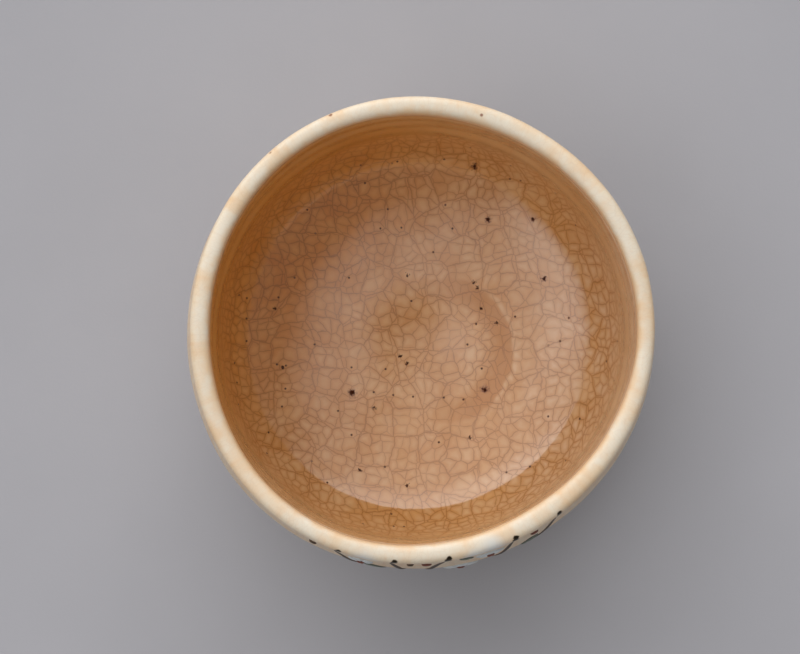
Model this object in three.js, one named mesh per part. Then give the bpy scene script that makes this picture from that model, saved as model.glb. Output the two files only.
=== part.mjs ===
// A hand-formed raku tea bowl at its real size: a pinched clay body on a luted foot ring, lined with a tan
// crackle glaze, coated outside and over the lip with a cream one, and painted on one side with raised slip.
// Millimetres, +Z up. The origin is the centre of the foot on the table, and the painted side faces -Y.
import * as THREE from "three";

// The bowl, measured over its glaze
const HEIGHT = 80; // table to the mean crest of the lip
const MOUTH_RADIUS = 57.3; // outside of the lip
const LIP_THICKNESS = 4.7; // through the lip
const LIP_ROUND = 2.6; // height of the lip's rounded top
const BELLY_RADIUS = 60; // widest ring of the outside
const BELLY_HEIGHT = 46; // table to that ring
const BELLY_WALL = 6.6; // wall at the widest ring
const INNER_WIDEST_HEIGHT = 50; // table to the widest ring of the inside
const FLOOR_THICKNESS = 7.4; // floor between the foot's recess and the tea pool's rim
const POOL_RADIUS = 19.5; // shallow pool in the middle of the floor
const POOL_DEPTH = 0.9;

// Foot
const FOOT_HEIGHT = 6; // table to the body's underside
const FOOT_RADIUS = 26; // outside of the ring where it stands
const FOOT_WALL = 6; // width of the ring where it stands
const FOOT_SPREAD = 1.4; // how much the ring widens on each side where it is luted on
const FOOT_ROUND = 0.9; // rounding of the ring's lower edges
const NUB_RADIUS = 9; // low cone in the middle of the foot's recess
const NUB_DROP = 1.6;

// Glazes and slip
const OUTER_GLAZE = 0.7;
const INNER_GLAZE = 0.7;
const GLAZE_LINE = 9; // bare clay between the foot ring and the cream glaze, along the hip
const SLIP_BOND = 0.12; // bond line under each painted mark
const STROKE_WIDTH = 1.7;
const STROKE_PROUD = 0.35;
const BLOSSOM_RADIUS = 4.1;
const BLOSSOM_PROUD = 0.7;
const HEART_RADIUS = 1.1;
const HEART_PROUD = 0.4;
const LEAF_LENGTH = 9;
const LEAF_WIDTH = 3.4;
const LEAF_PROUD = 0.45;
const BUD_RADIUS = 1.3;
const BUD_PROUD = 0.6;

// Run of the profile: headings in degrees, and how full each curve is
const OUTWARD = 0;
const UP = 90;
const INWARD = 180;
const DOWN = 270;
const HIP_HEADING = 10;
const LIP_LEAN = 0.6; // share of the wall's inward lean that the lip keeps
const HIP_FULLNESS = 0.45;
const WALL_FULLNESS = 0.36;
const LIP_FULLNESS = 0.39;
const FLOOR_FULLNESS = 0.66;
const POOL_FULLNESS = 0.45;
const BELLY_SHARE = 0.6; // share of the mouth's lobes that the widest rings follow

// Drawing of the painted marks, as shares of their size
const STROKE_TOP = 0.55; // width of a stroke's flat top
const STROKE_BLUNT = 0.08; // how blunt its two ends are
const PETALS = 5;
const PETAL_NOTCH = 0.26; // depth of the notches between petals
const LEAF_POINT = 6; // how long a leaf's points are drawn out
const PAD_RINGS = [0.5, 0.85]; // rings of points between a pad's middle and its edge
const PAD_EDGE = 0.4; // height that a pad keeps at its edge

// Marks of the hand: waves round the bowl in millimetres, each with its crest towards an azimuth in degrees
const MOUTH_LOBES = [
  { waves: 2, swell: 0.3, toward: 55 },
  { waves: 3, swell: 0.45, toward: 0 },
];
const BELLY_LOBES = [{ waves: 1, swell: 0.3, toward: -80 }];
const LIP_PINCHES = [{ waves: 3, swell: 0.3, toward: 60 }];
const LIP_RISES = [
  { waves: 2, swell: 0.35, toward: 100 },
  { waves: 5, swell: 0.4, toward: 30 },
];
const GLAZE_RUNS = [
  { waves: 3, swell: 1.4, toward: 20 },
  { waves: 7, swell: 0.7, toward: 40 },
];

// Painted side: places are an azimuth in degrees and a share of the coated wall, 0 at the crest of the lip
const GRASS = [
  { root: [-83.5, 0.78], bow: [-58, 0.5], tip: [-54, 0.07] },
  { root: [-86, 0.82], bow: [-68, 0.45], tip: [-66.5, 0.06] },
  { root: [-88.5, 0.8], bow: [-90, 0.42], tip: [-84, 0.055] },
  { root: [-91, 0.83], bow: [-93, 0.45], tip: [-97.5, 0.06] },
  { root: [-93.5, 0.79], bow: [-104, 0.5], tip: [-111.5, 0.07] },
];
const BLOSSOMS = [
  { place: [-72.5, 0.17], turn: 12, size: 1 },
  { place: [-104.5, 0.16], turn: 40, size: 0.86 },
  { place: [-80, 0.36], turn: 75, size: 1.2 },
];
const LEAVES = [
  { place: [-78.5, 0.11], turn: 108, size: 0.9 },
  { place: [-101, 0.32], turn: 118, size: 1.15 },
  { place: [-62, 0.31], turn: 68, size: 1.1 },
];
const BUDS = [
  { place: [-88.5, 0.1], size: 1, finish: "bud_red" },
  { place: [-92.5, 0.085], size: 0.7, finish: "iron_brown" },
  { place: [-60.5, 0.13], size: 0.9, finish: "bud_red" },
  { place: [-117, 0.12], size: 0.8, finish: "iron_brown" },
];

// Facets
const AROUND = 48;
const STEPS = { nub: 2, bare: 2, hip: 7, wall: 6, lip: 3, innerWall: 4, floor: 9, pool: 3, round: 2 };
const STROKE_STEPS = 20;
const PETAL_SIDES = 30;
const LEAF_SIDES = 16;
const BUD_SIDES = 10;

const FINISHES = {
  bare_clay: { color: 0xb08a66, roughness: 0.85 },
  cream_glaze: { color: 0xe2d2b8, roughness: 0.25 },
  tan_glaze: { color: 0xa9794f, roughness: 0.15 },
  iron_brown: { color: 0x2b2019, roughness: 0.4 },
  white_slip: { color: 0xe6e8e6, roughness: 0.3 },
  leaf_green: { color: 0x6f7a63, roughness: 0.4 },
  bud_red: { color: 0x8c3b22, roughness: 0.4 },
};

const rad = THREE.MathUtils.degToRad;

// Sum of the waves at an azimuth in radians
function handAt(azimuth, waves) {
  return waves.reduce((sum, w) => sum + w.swell * Math.cos(w.waves * (azimuth - rad(w.toward))), 0);
}

// Adds a curve to a path that leaves along one heading and arrives at its end along another
function bend(path, end, leave, arrive, fullness) {
  const start = path.currentPoint.clone();
  const reach = fullness * start.distanceTo(end);
  const from = new THREE.Vector2(Math.cos(rad(leave)), Math.sin(rad(leave))).multiplyScalar(reach).add(start);
  const to = new THREE.Vector2(Math.cos(rad(arrive)), Math.sin(rad(arrive))).multiplyScalar(-reach).add(end);
  path.bezierCurveTo(from.x, from.y, to.x, to.y, end.x, end.y);
}

// Radii of the ring's two edges on the body's underside, where it is luted on
const seatInside = FOOT_RADIUS - FOOT_WALL - FOOT_SPREAD;
const seatOutside = FOOT_RADIUS + FOOT_SPREAD;

// The clay's surface at one azimuth, from the foot ring's seat over the lip to the middle of the floor
function clayProfile(azimuth) {
  const lobe = handAt(azimuth, MOUTH_LOBES);
  const bellyLobe = BELLY_SHARE * lobe + handAt(azimuth, BELLY_LOBES);
  const shoulderHeight = HEIGHT + handAt(azimuth, LIP_RISES) - LIP_ROUND;
  const crestHeight = shoulderHeight + LIP_ROUND - OUTER_GLAZE;
  const lipThickness = LIP_THICKNESS + handAt(azimuth, LIP_PINCHES);
  const lipOutside = MOUTH_RADIUS + lobe - OUTER_GLAZE;
  const lipInside = MOUTH_RADIUS + lobe - lipThickness + OUTER_GLAZE;
  const bellyOutside = BELLY_RADIUS + bellyLobe - OUTER_GLAZE;
  const bellyInside = BELLY_RADIUS + bellyLobe - BELLY_WALL + INNER_GLAZE;
  const poolRim = FOOT_HEIGHT + FLOOR_THICKNESS - INNER_GLAZE;
  const lean = Math.atan2(bellyOutside - lipOutside, shoulderHeight - BELLY_HEIGHT);
  const lipHeading = UP + LIP_LEAN * THREE.MathUtils.radToDeg(lean);
  const path = new THREE.Path();
  const to = (x, y, leave, arrive, fullness) => bend(path, new THREE.Vector2(x, y), leave, arrive, fullness);
  path.moveTo(seatOutside, FOOT_HEIGHT);
  to(bellyOutside, BELLY_HEIGHT, HIP_HEADING, UP, HIP_FULLNESS);
  to(lipOutside, shoulderHeight, UP, lipHeading, WALL_FULLNESS);
  to((lipOutside + lipInside) / 2, crestHeight, lipHeading, INWARD, LIP_FULLNESS);
  to(lipInside, shoulderHeight, INWARD, DOWN, LIP_FULLNESS);
  to(bellyInside, INNER_WIDEST_HEIGHT, DOWN, DOWN, WALL_FULLNESS);
  to(POOL_RADIUS, poolRim, DOWN, INWARD, FLOOR_FULLNESS);
  to(0, poolRim - POOL_DEPTH, INWARD, INWARD, POOL_FULLNESS);
  const [hip, wall, crestOut, crestIn, innerWall, floor, pool] = path.curves;
  return { hip, wall, crestOut, crestIn, innerWall, floor, pool };
}

// Points spaced along a curve between two shares of its length, each with the way out of the clay
function along(curve, steps, from = 0, to = 1) {
  return Array.from({ length: steps + 1 }, (_, i) => {
    const share = THREE.MathUtils.lerp(from, to, i / steps);
    const heading = curve.getTangentAt(share);
    return { clay: curve.getPointAt(share), out: new THREE.Vector2(heading.y, -heading.x) };
  });
}

// Curves end to end as one run of points, without the repeats where they meet
function chain(...runs) {
  return runs.flatMap((run, i) => (i === 0 ? run : run.slice(1)));
}

// A profile point turned to its azimuth
function turned(point, azimuth) {
  return new THREE.Vector3(point.x * Math.cos(azimuth), point.x * Math.sin(azimuth), point.y);
}

// Share of the hip that stays bare at an azimuth
function bareShare(azimuth, hip) {
  return (GLAZE_LINE + handAt(azimuth, GLAZE_RUNS)) / hip.getLength();
}

// Every surface of the bowl at one azimuth, as runs of points in space that its solids share
function sectionAt(azimuth) {
  const clay = clayProfile(azimuth);
  const line = bareShare(azimuth, clay.hip);
  const coat = chain(
    along(clay.hip, STEPS.hip, line),
    along(clay.wall, STEPS.wall),
    along(clay.crestOut, STEPS.lip),
    along(clay.crestIn, STEPS.lip),
  );
  const lining = chain(
    along(clay.innerWall, STEPS.innerWall),
    along(clay.floor, STEPS.floor),
    along(clay.pool, STEPS.pool),
  );
  const under = (run) => run.map((p) => turned(p.clay, azimuth));
  const over = (run, thickness) =>
    run.map((p) => turned(p.clay.clone().addScaledVector(p.out, thickness), azimuth));
  return {
    underside: undersideRun().map((p) => turned(p, azimuth)),
    bare: under(along(clay.hip, STEPS.bare, 0, line)),
    coatBed: under(coat),
    coatFace: over(coat, OUTER_GLAZE),
    liningBed: under(lining),
    liningFace: over(lining, INNER_GLAZE),
    foot: footRun().map((p) => turned(p, azimuth)),
  };
}

// Underside of the body inside the foot ring, from the nub's tip to the ring's seat
function undersideRun() {
  const path = new THREE.Path();
  path.moveTo(0, FOOT_HEIGHT - NUB_DROP);
  bend(path, new THREE.Vector2(NUB_RADIUS, FOOT_HEIGHT), OUTWARD, OUTWARD, POOL_FULLNESS);
  const nub = path.curves[0].getSpacedPoints(STEPS.nub);
  return [...nub, new THREE.Vector2(seatInside, FOOT_HEIGHT)];
}

// Outline of the foot ring: in at the seat, down the inside, across the standing face and up the outside
function footRun() {
  const standInside = FOOT_RADIUS - FOOT_WALL;
  const path = new THREE.Path();
  path.moveTo(standInside, FOOT_ROUND);
  bend(path, new THREE.Vector2(standInside + FOOT_ROUND, 0), DOWN, OUTWARD, LIP_FULLNESS);
  const inner = path.curves[0].getPoints(STEPS.round);
  path.moveTo(FOOT_RADIUS - FOOT_ROUND, 0);
  bend(path, new THREE.Vector2(FOOT_RADIUS, FOOT_ROUND), OUTWARD, UP, LIP_FULLNESS);
  const outer = path.curves[1].getPoints(STEPS.round);
  const seat = [new THREE.Vector2(seatOutside, FOOT_HEIGHT), new THREE.Vector2(seatInside, FOOT_HEIGHT)];
  return [...inner, ...outer, ...seat];
}

// True where one corner comes before another, by height and then across
function before(a, b) {
  if (a.z !== b.z) return a.z < b.z;
  return a.x === b.x ? a.y < b.y : a.x < b.x;
}

// Closed skin over rails that stand round an axis: each rail is a loop, or runs between two shared poles.
// A patch is split from its lowest corner, so that two solids that share a face split it alike.
function skin(runs, loops) {
  const [first, last] = [runs[0].at(0), runs[0].at(-1)];
  const rails = loops ? runs : runs.map((run) => [first, ...run.slice(1, -1), last]);
  const points = [];
  const face = (...corners) => {
    const [a, b, c] = corners;
    if (a.equals(b) || b.equals(c) || c.equals(a)) return;
    points.push(a, b, c);
  };
  rails.forEach((rail, i) => {
    const next = rails[(i + 1) % rails.length];
    const patches = loops ? rail.length : rail.length - 1;
    for (let j = 0; j < patches; j += 1) {
      const k = (j + 1) % rail.length;
      const [a, b, c, d] = [rail[j], next[j], next[k], rail[k]];
      const lowest = [b, c, d].reduce((low, p) => (before(p, low) ? p : low), a);
      if (lowest === a || lowest === c) {
        face(a, b, c);
        face(a, c, d);
      } else {
        face(a, b, d);
        face(b, c, d);
      }
    }
  });
  const geometry = new THREE.BufferGeometry().setFromPoints(points);
  geometry.computeVertexNormals();
  return geometry;
}

function piece(name, geometry, finish) {
  const material = new THREE.MeshStandardMaterial({ ...FINISHES[finish], metalness: 0 });
  const mesh = new THREE.Mesh(geometry, material);
  mesh.name = name;
  return mesh;
}

// The coated wall unrolled: millimetres round the belly, and millimetres down from the crest of the lip
function unrolled([degrees, share]) {
  return new THREE.Vector2(BELLY_RADIUS * rad(degrees), share * coatedWall(rad(degrees)).length);
}

// Path up the coated wall at an azimuth, and its length
function coatedWall(azimuth) {
  const { hip, wall, crestOut } = clayProfile(azimuth);
  const path = new THREE.CurvePath();
  path.curves.push(hip, wall, crestOut);
  return { path, length: path.getLength() - GLAZE_LINE };
}

// The place in space of an unrolled point that stands proud of the cream glaze
function onWall(round, down, proud) {
  const azimuth = round / BELLY_RADIUS;
  const { path } = coatedWall(azimuth);
  const share = 1 - down / path.getLength();
  const heading = path.getTangentAt(share);
  const out = new THREE.Vector2(heading.y, -heading.x);
  return turned(path.getPointAt(share).addScaledVector(out, OUTER_GLAZE + SLIP_BOND + proud), azimuth);
}

// A raised pad whose edge lies at a given distance from its middle, domed to its height there
function pad([degrees, share], edgeAt, lift, proud, sides) {
  const middle = unrolled([degrees, share]);
  const at = (turn, part, height) => {
    const reach = part * edgeAt(turn);
    return onWall(middle.x + reach * Math.cos(turn), middle.y - reach * Math.sin(turn), lift + height);
  };
  const dome = (part) => proud * (PAD_EDGE + (1 - PAD_EDGE) * Math.sqrt(1 - part * part));
  const back = onWall(middle.x, middle.y, lift);
  const front = onWall(middle.x, middle.y, lift + proud);
  const rails = Array.from({ length: sides }, (_, i) => {
    const turn = (2 * Math.PI * i) / sides;
    const behind = [...PAD_RINGS, 1].map((part) => at(turn, part, 0));
    const ahead = [1, ...PAD_RINGS.toReversed()].map((part) => at(turn, part, dome(part)));
    return [back, ...behind, ...ahead, front];
  });
  return skin(rails, false);
}

// A brush stroke: swells from its root and runs out to a point
function stroke({ root, bow, tip }) {
  const line = new THREE.QuadraticBezierCurve(unrolled(root), unrolled(bow), unrolled(tip));
  const steps = Array.from({ length: STROKE_STEPS - 1 }, (_, i) => (i + 1) / STROKE_STEPS);
  const swell = (share) => {
    const run = THREE.MathUtils.lerp(STROKE_BLUNT, 1 - STROKE_BLUNT, share);
    return (STROKE_WIDTH / 2) * Math.sqrt(Math.sin(Math.PI * run));
  };
  const rail = (side, height) => {
    const run = steps.map((share) => {
      const heading = line.getTangentAt(share);
      const across = new THREE.Vector2(-heading.y, heading.x).multiplyScalar(side * swell(share));
      const at = line.getPointAt(share).add(across);
      return onWall(at.x, at.y, height * STROKE_PROUD);
    });
    const [start, end] = [line.getPointAt(0), line.getPointAt(1)];
    return [onWall(start.x, start.y, 0), ...run, onWall(end.x, end.y, 0)];
  };
  return skin([rail(-1, 0), rail(-STROKE_TOP, 1), rail(STROKE_TOP, 1), rail(1, 0)], false);
}

// Edge of a five-petalled blossom, of a pointed leaf and of a round bud
const petals = (radius, turn) => (angle) => {
  const petal = Math.sqrt(Math.abs(Math.cos((PETALS / 2) * (angle - rad(turn)))));
  return radius * THREE.MathUtils.lerp(1 - PETAL_NOTCH, 1, petal);
};
const pointed = (length, width, turn) => (angle) => {
  const lean = Math.abs(Math.cos(angle - rad(turn))) ** LEAF_POINT;
  return THREE.MathUtils.lerp(width, length, lean) / 2;
};
const round = (radius) => () => radius;

function bowl() {
  const sections = Array.from({ length: AROUND }, (_, i) => sectionAt((2 * Math.PI * i) / AROUND));
  const clay = sections.map((s) => [
    ...s.underside,
    ...s.bare.slice(0, -1),
    ...s.coatBed,
    ...s.liningBed.slice(1),
  ]);
  const coat = sections.map((s) => [...s.coatFace, ...s.coatBed.toReversed()]);
  const lining = sections.map((s) => [...s.liningBed.toReversed(), ...s.liningFace]);
  const foot = sections.map((s) => s.foot);
  return [
    piece("clay_body", skin(clay, false), "bare_clay"),
    piece("foot_ring", skin(foot, true), "bare_clay"),
    piece("inner_glaze", skin(lining, false), "tan_glaze"),
    piece("outer_glaze", skin(coat, true), "cream_glaze"),
  ];
}

function painting() {
  const grass = GRASS.map((blade, i) => piece(`grass_blade_${i + 1}`, stroke(blade), "iron_brown"));
  const blossoms = BLOSSOMS.flatMap(({ place, turn, size }, i) => {
    const flower = pad(place, petals(size * BLOSSOM_RADIUS, turn), 0, BLOSSOM_PROUD, PETAL_SIDES);
    const heart = pad(place, round(HEART_RADIUS), BLOSSOM_PROUD + SLIP_BOND, HEART_PROUD, BUD_SIDES);
    return [
      piece(`blossom_${i + 1}`, flower, "white_slip"),
      piece(`blossom_heart_${i + 1}`, heart, "bud_red"),
    ];
  });
  const leaves = LEAVES.map(({ place, turn, size }, i) => {
    const edge = pointed(size * LEAF_LENGTH, size * LEAF_WIDTH, turn);
    return piece(`leaf_${i + 1}`, pad(place, edge, 0, LEAF_PROUD, LEAF_SIDES), "leaf_green");
  });
  const buds = BUDS.map(({ place, size, finish }, i) =>
    piece(`bud_${i + 1}`, pad(place, round(size * BUD_RADIUS), 0, BUD_PROUD, BUD_SIDES), finish),
  );
  return [...grass, ...blossoms, ...leaves, ...buds];
}

const teaBowl = new THREE.Group();
teaBowl.add(...bowl(), ...painting());

export default teaBowl;
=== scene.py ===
"""A hand-formed raku tea bowl: fired clay, two crackle glazes, raised painting and a plain stage."""
import math

import bpy
import numpy as np
from mathutils import Matrix, Vector, noise


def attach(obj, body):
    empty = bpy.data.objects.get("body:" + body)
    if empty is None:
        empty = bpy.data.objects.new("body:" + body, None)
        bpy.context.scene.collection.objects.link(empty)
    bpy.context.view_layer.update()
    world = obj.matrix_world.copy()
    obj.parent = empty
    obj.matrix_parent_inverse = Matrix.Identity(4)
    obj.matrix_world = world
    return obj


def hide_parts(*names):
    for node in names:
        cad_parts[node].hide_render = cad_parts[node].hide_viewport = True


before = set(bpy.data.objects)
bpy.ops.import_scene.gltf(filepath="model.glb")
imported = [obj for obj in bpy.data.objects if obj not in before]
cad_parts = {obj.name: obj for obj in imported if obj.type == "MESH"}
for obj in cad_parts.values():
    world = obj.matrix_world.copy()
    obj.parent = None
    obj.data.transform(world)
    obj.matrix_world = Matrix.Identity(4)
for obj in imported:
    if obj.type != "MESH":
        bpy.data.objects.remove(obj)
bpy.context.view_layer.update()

bl_info = {
    "name": "Raku Tea Bowl",
    "version": (1, 0, 0),
    "blender": (4, 5, 0),
    "location": "View3D > Sidebar > Tea Bowl",
    "description": "Dresses a tea bowl in clay, crackle glaze and raised painting",
    "category": "Object",
}

MM = 0.001
BODY = "root"

# Headings of the profile in degrees, and how full each of its curves is
OUTWARD, UP, INWARD, DOWN = 0, 90, 180, 270
HIP_HEADING = 10
RING_FLARE = 60
LIP_LEAN = 0.6
HIP_FULLNESS = 0.45
WALL_FULLNESS = 0.36
CREST_FULLNESS = 0.54
FLOOR_FULLNESS = 0.66
POOL_FULLNESS = 0.45
RING_FULLNESS = 0.39
BELLY_SHARE = 0.6  # how much of the mouth's lobes the belly keeps

# Marks of the hand: waves round the bowl, the swell of each in millimetres and the azimuth of its crest
MOUTH_LOBES = ((2, 0.3, 55), (3, 0.45, 0))
BELLY_LOBES = ((1, 0.3, -80),)
LIP_PINCHES = ((3, 0.3, 60),)
LIP_RISES = ((2, 0.35, 100), (5, 0.4, 30))
GLAZE_RUNS = ((3, 1.4, 20), (7, 0.7, 40))
FOOT_CUTS = ((2, 0.22, 35), (5, 0.12, 110))
LUMPS = ((23, 0.16), (9, 0.07))  # span and depth of the hand's dents, in millimetres
POOL_OFFSET = (3.0, -2.0)  # where the pool's middle lies on the floor, in millimetres
POOL_DRIFT_REACH = 46  # radius within which the floor follows the pool

# Smoothing marks on the inner wall: lengths in millimetres, the runs measured down from the seam on the lip
RIDGE_SPAN = 16.0
RIDGE_DEPTH = 0.1
RIDGE_START = 3  # run in which they grow
RIDGE_END = 75  # run at which they have died out
RIDGE_FADE = 30  # length over which they die out
RIDGE_WAVES = ((1.0, 1.0, 1), (0.6, 1.7, -2))  # swell, spans that a wave takes, and how it wanders
RIDGE_WANDER = ((2, 0.6, 0.7), (5, 0.4, 2.1))  # waves round the bowl, swell and phase of each

# Rolled lower edge of the cream glaze, measured in widths of the roll
ROLL_START = 0.02
BEAD_SWELL = 0.4  # added to the glaze's thickness where its bead is fullest
BEAD_PLACE = 1.3

# Painted side: places are an azimuth in degrees and a share of the coated wall, 0 at the crest of the lip.
# A blade has a root, a bow and a tip. A blossom or a leaf has a place, a turn in degrees and a size.
# A bud has a place, a size and a slot.
GRASS = (
    ((-83.5, 0.78), (-58, 0.5), (-54, 0.07)),
    ((-86, 0.82), (-68, 0.45), (-66.5, 0.06)),
    ((-88.5, 0.8), (-90, 0.42), (-84, 0.055)),
    ((-91, 0.83), (-93, 0.45), (-97.5, 0.06)),
    ((-93.5, 0.79), (-104, 0.5), (-111.5, 0.07)),
)
BLOSSOMS = (((-72.5, 0.17), 12, 1), ((-104.5, 0.16), 40, 0.86), ((-80, 0.36), 75, 1.2))
LEAVES = (((-78.5, 0.11), 108, 0.9), ((-101, 0.32), 118, 1.15), ((-62, 0.31), 68, 1.1))
BUDS = (
    ((-88.5, 0.1), 1, "bud_red"),
    ((-92.5, 0.085), 0.7, "iron_brown"),
    ((-60.5, 0.13), 0.9, "bud_red"),
    ((-117, 0.12), 0.8, "iron_brown"),
)
STROKE_BLUNT = 0.08  # share of a stroke's swell that is cut off at each end
STROKE_TAPER = 3  # steps in which a stroke narrows to its ends
STROKE_DRAG = ((17, 0.08, 0), (41, 0.05, 1))  # waves along a stroke: how fast, how wide and their phase
PETALS = 5
PETAL_NOTCH = 0.26
PETAL_FOLD = 0.4
PETAL_CUP = (0.3, 0.45)  # depth of the hollow round the heart, and its reach as a share of the blossom
HEART_LIFT = 0.62  # share of a blossom's height at which its heart sits
HEART_FOLDS = (7, 0.12)  # folds round a heart, and their height
HEART_WAVER = ((3, 0.06, 1),)  # waves round a mark's edge: how many, how wide and their phase
BUD_WAVER = ((2, 0.07, 1), (5, 0.04, 0))
LEAF_POINT = 6  # power that sharpens the points of a leaf
VEIN_WIDTH = 0.35  # in millimetres
VEIN_DEPTH = 0.45  # share of a leaf's height

# Flat brushwork on the lip: azimuths, shares of the coated wall and radii in millimetres of the slip washes
SLIP_WASHES = (
    (-71.5, 0.03, 2.6),
    (-74.5, 0.045, 2.4),
    (-76.5, 0.035, 2.0),
    (-104, 0.035, 2.3),
    (-102, 0.05, 1.8),
)
# Dabs that end each blade: shares of its tip's share, degrees past its tip and radii in millimetres
EAR_DABS = (
    (1.0, 0.0, 0.48),
    (0.86, 0.15, 0.6),
    (0.71, 0.35, 0.74),
    (0.56, 0.6, 0.9),
    (0.41, 0.85, 0.95),
    (0.28, 1.15, 0.75),
)

# Iron specks: places and radii in millimetres, those of the lining as seen from above.
# The first few have bled rust.
RUST_SPECKS = (
    (-18, -15, 0, 0.8),
    (18, -14, 0, 0.75),
    (15, 46, 0, 0.6),
    (19, 32, 0, 0.6),
    (31, 32, 0, 0.5),
    (34, 16, 0, 0.5),
)
IRON_SPECKS = (
    (-39, 8, 0, 0.4),
    (-3, 17, 0, 0.4),
    (-5, -5, 0, 0.4),
    (-3, -7, 0, 0.45),
    (-37, -8, 0, 0.45),
    (-12, -19, 0, 0.45),
    (-16, -36, 0, 0.4),
    (-3, -40, 0, 0.5),
    (15, 15, 0, 0.45),
    (16, 13.5, 0, 0.45),
    (17, 8, 0, 0.4),
    (21, 4, 0, 0.45),
    (14, -27, 0, 0.45),
)
LIP_SPECKS = (
    (-22, 52.5, 79.8, 0.6),
    (-37, 43.6, 79.4, 0.5),
    (43, 30.5, 79.7, 0.45),
    (15, 52.6, 80.0, 0.45),
)

# Where a flat spot is full and where it ends, in radii
SPOT_CORE = 0.5
RUST_SPREAD = 2.2
SPECK_SPREAD = 1.35
LIP_SPECK_SPREAD = 1.2
WASH_SPREAD = 1.9
DAB_SPREAD = 1.25
DAB_MIDDLE = (0.3, 0.8)  # strength of a dab between which its iron grows thick

# Ragged edges of spots: span and detail of the noise, and how far it reaches, in millimetres
SPECK_RAGGED = (0.7, 3.0, (2.2, 2.2, 0.0))
BRUSH_RAGGED = (0.9, 3.0, (0.7, 0.7, 0.7))

# Fine pins of iron, one in some cells of a scatter
PIN_SPAN = 6.5  # span of a cell, in millimetres
PIN_SIZE = (0.03, 0.06)  # where a pin is full and where it ends, in cells
PIN_CHANCE = (0.72, 0.76)  # tone of a cell between which it gets its pin
PIN_COVER = 0.75
SPECK_COVER = 1.4  # strength of all the specks, so that their middles are full
SPECK_DULLNESS = 0.65  # roughness that a speck adds

# Crackle: a cell and a hair line of each glaze in millimetres, and the rest in cells
TAN_CRACKLE = (3.0, 0.21)
CREAM_CRACKLE = (2.6, 0.2)
FIRST_CRACKS = 2.6
CRACK_DISORDER = 0.72
CRACK_SWAY = (6, 1.0, 2.4)  # slow bends: span, detail and reach
CRACK_SHAKE = (0.8, 2.0, 0.4)  # quick bends: span, detail and reach
CRACK_STAIN = 0.42  # reach of the stain beside a crack
CRACK_STRETCH = 4  # span of the stretches in which later cracks are faint
CRACK_STRENGTH = (0.3, 0.65, 0.5, 1.0)  # noise between which they go from a faint share to full
PLOT_JUMP = 60.0  # far enough that each plot of the first cracks has its own later cracks

# Bands of the tan glaze, in millimetres down from its seam on the lip
TAN_EDGE = (0.0, 2.4)
TAN_LIP = (4.0, 26.0)
TAN_WALL = (32.0, 66.0)
TAN_CRACKED = (26.0, 62.0)
TAN_RIPPLED = (30.0, 62.0, 0.1, 1.0)  # with the share of the ripples before and after

# The pool's bank, deep amber on one side where the glaze pools thick and as painted shade of its slope,
# and its brim, a painted glint on that side: rise and fall in millimetres from its middle, and the eastings
# where each grows
POOL_BANK_SHADE = (14.0, 19.0, 21.0, 22.5)
POOL_BRIM_GLINT = (21.6, 22.3, 22.6, 23.6)
BANK_SHADE_EAST = (-3.0, 14.0)
BRIM_GLINT_EAST = (12.0, 20.0)
POOL_WAVER = (9, 5.0)  # span and reach of the bends in both

# Painted shade and light on the tan glaze: a deep amber tint towards one side of the bowl paints shade
# there, and a pale tint towards the other paints light and sheen. Each way: where its tint starts and is
# full in millimetres from the axis, and the tint
PAINTED_SHADE_AND_LIGHT_TINTS = (
    ((-0.8, 0.6, 0.0), (5.0, 44.0), (1.06, 0.88, 0.5)),
    ((0.95, -0.3, 0.0), (24.0, 48.0), (1.03, 1.13, 1.4)),
)

# Bands of the cream glaze, in millimetres from its seam on the lip
# The peach band at the seam is partly thin glaze and partly the painted warm shade of the lip's inner
# slope; the ivory band along the crest is partly thick glaze and partly a painted highlight.
CREAM_THIN_SHADE = (1.2, 4.2)
CREAM_CREST_HIGHLIGHT = (2.2, 3.6, 4.6, 7.0)
CREAM_CRAZED = (6.0, 14.0, 0.3, 1.0)  # with the share of the crazing before and after
CREST_WAVER = (3.5, 3.0, 3.0)  # span, detail and reach of the bends in the crest
RUN_RADIUS = 57.0  # ring on which the runs of the cream glaze are spaced

# Soft patches: span in millimetres, detail, and the noise between which a patch grows
TAN_PATCH = (13, 4.0, 0.36, 0.66)
TAN_CLOUD = (8, 3.0, 0.42, 0.62)
TAN_STREAK = (1.0, 1.0, 0.35, 0.7)
STREAK_SCALE = (0.02, 0.02, 0.06)  # spans for each millimetre, so that streaks run round the bowl
CREAM_BLUSH = (9, 4.0, 0.38, 0.66)
CREAM_RUN = (1.6, 3.0, 0.35, 0.7)
CREAM_DUST = (0.9, 3.0, 0.5, 0.75)
CLAY_SCORCH = (13, 4.0, 0.4, 0.7)
CLAY_GROG = (0.9, 4.0, 0.55, 0.72)
PAINT_STREAK = (0.8, 4.0, 0.3, 0.7)
PAINT_EDGE = (0.0, 0.55)  # shares from a mark's edge to its middle between which its colour grows thick
PAPER_CLOUD = (60, 4.0)
PAPER_CLOUD_EDGE = (0.35, 0.65)
PAPER_DIM = 0.97
CELL_LIGHT = (0.25, 0.7)  # how pale a crackle cell is, from the least to the most

# Fine relief of each finish: span in millimetres, detail and depth in millimetres
TAN_GRAIN = (2.2, 2.0, 0.02)
CREAM_GRAIN = (1.6, 3.0, 0.02)
CLAY_GRAIN = (0.7, 5.0, 0.12)
PAINT_GRAIN = (0.6, 3.0, 0.03)
PAPER_GRAIN = (0.8, 4.0, 0.02)

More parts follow.
